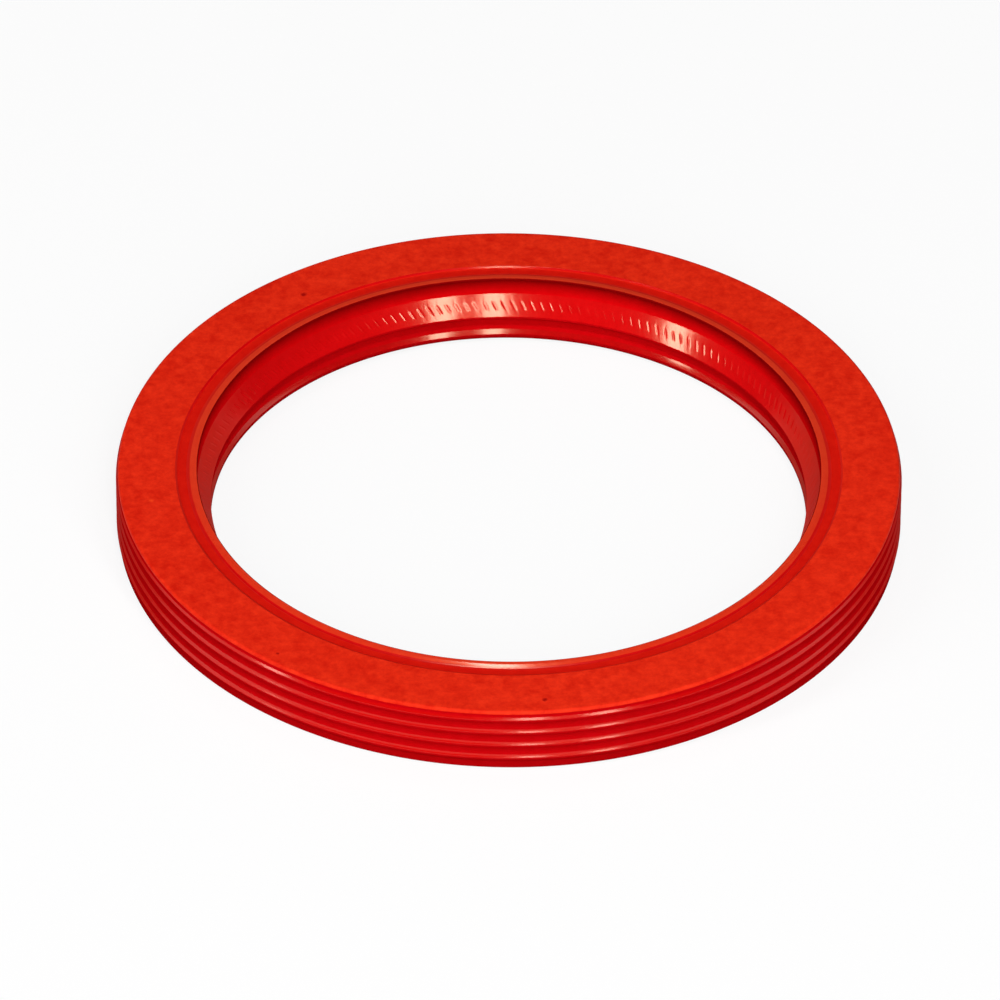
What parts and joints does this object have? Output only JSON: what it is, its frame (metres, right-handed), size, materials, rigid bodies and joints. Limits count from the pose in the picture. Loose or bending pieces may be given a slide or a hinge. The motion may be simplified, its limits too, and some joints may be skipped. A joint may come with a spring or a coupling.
{
  "type": "rotary shaft oil seal",
  "caption": "Flat ring-shaped silicone oil seal with a sprung lip, slanted pumping ribs and a ribbed outer wall round an inner steel case.",
  "frame": {"origin": "centre of the seal's axis in the plane of its oil side, which it rests on", "axes": "+Z along the shaft's axis, from the oil side to the air side; X and Y across the ring, which looks the same all round"},
  "size_m": [0.1104, 0.1104, 0.01],
  "materials": {
    "silicone": "orange-red moulded silicone, matte on the face and semi-gloss on the walls",
    "case_steel": "pressed sheet steel, dull grey",
    "spring_steel": "bright spring wire"
  },
  "bodies": {
    "root": {"seal_body": "silicone", "steel_case": "case_steel", "garter_spring": "spring_steel"}
  },
  "joints": []
}
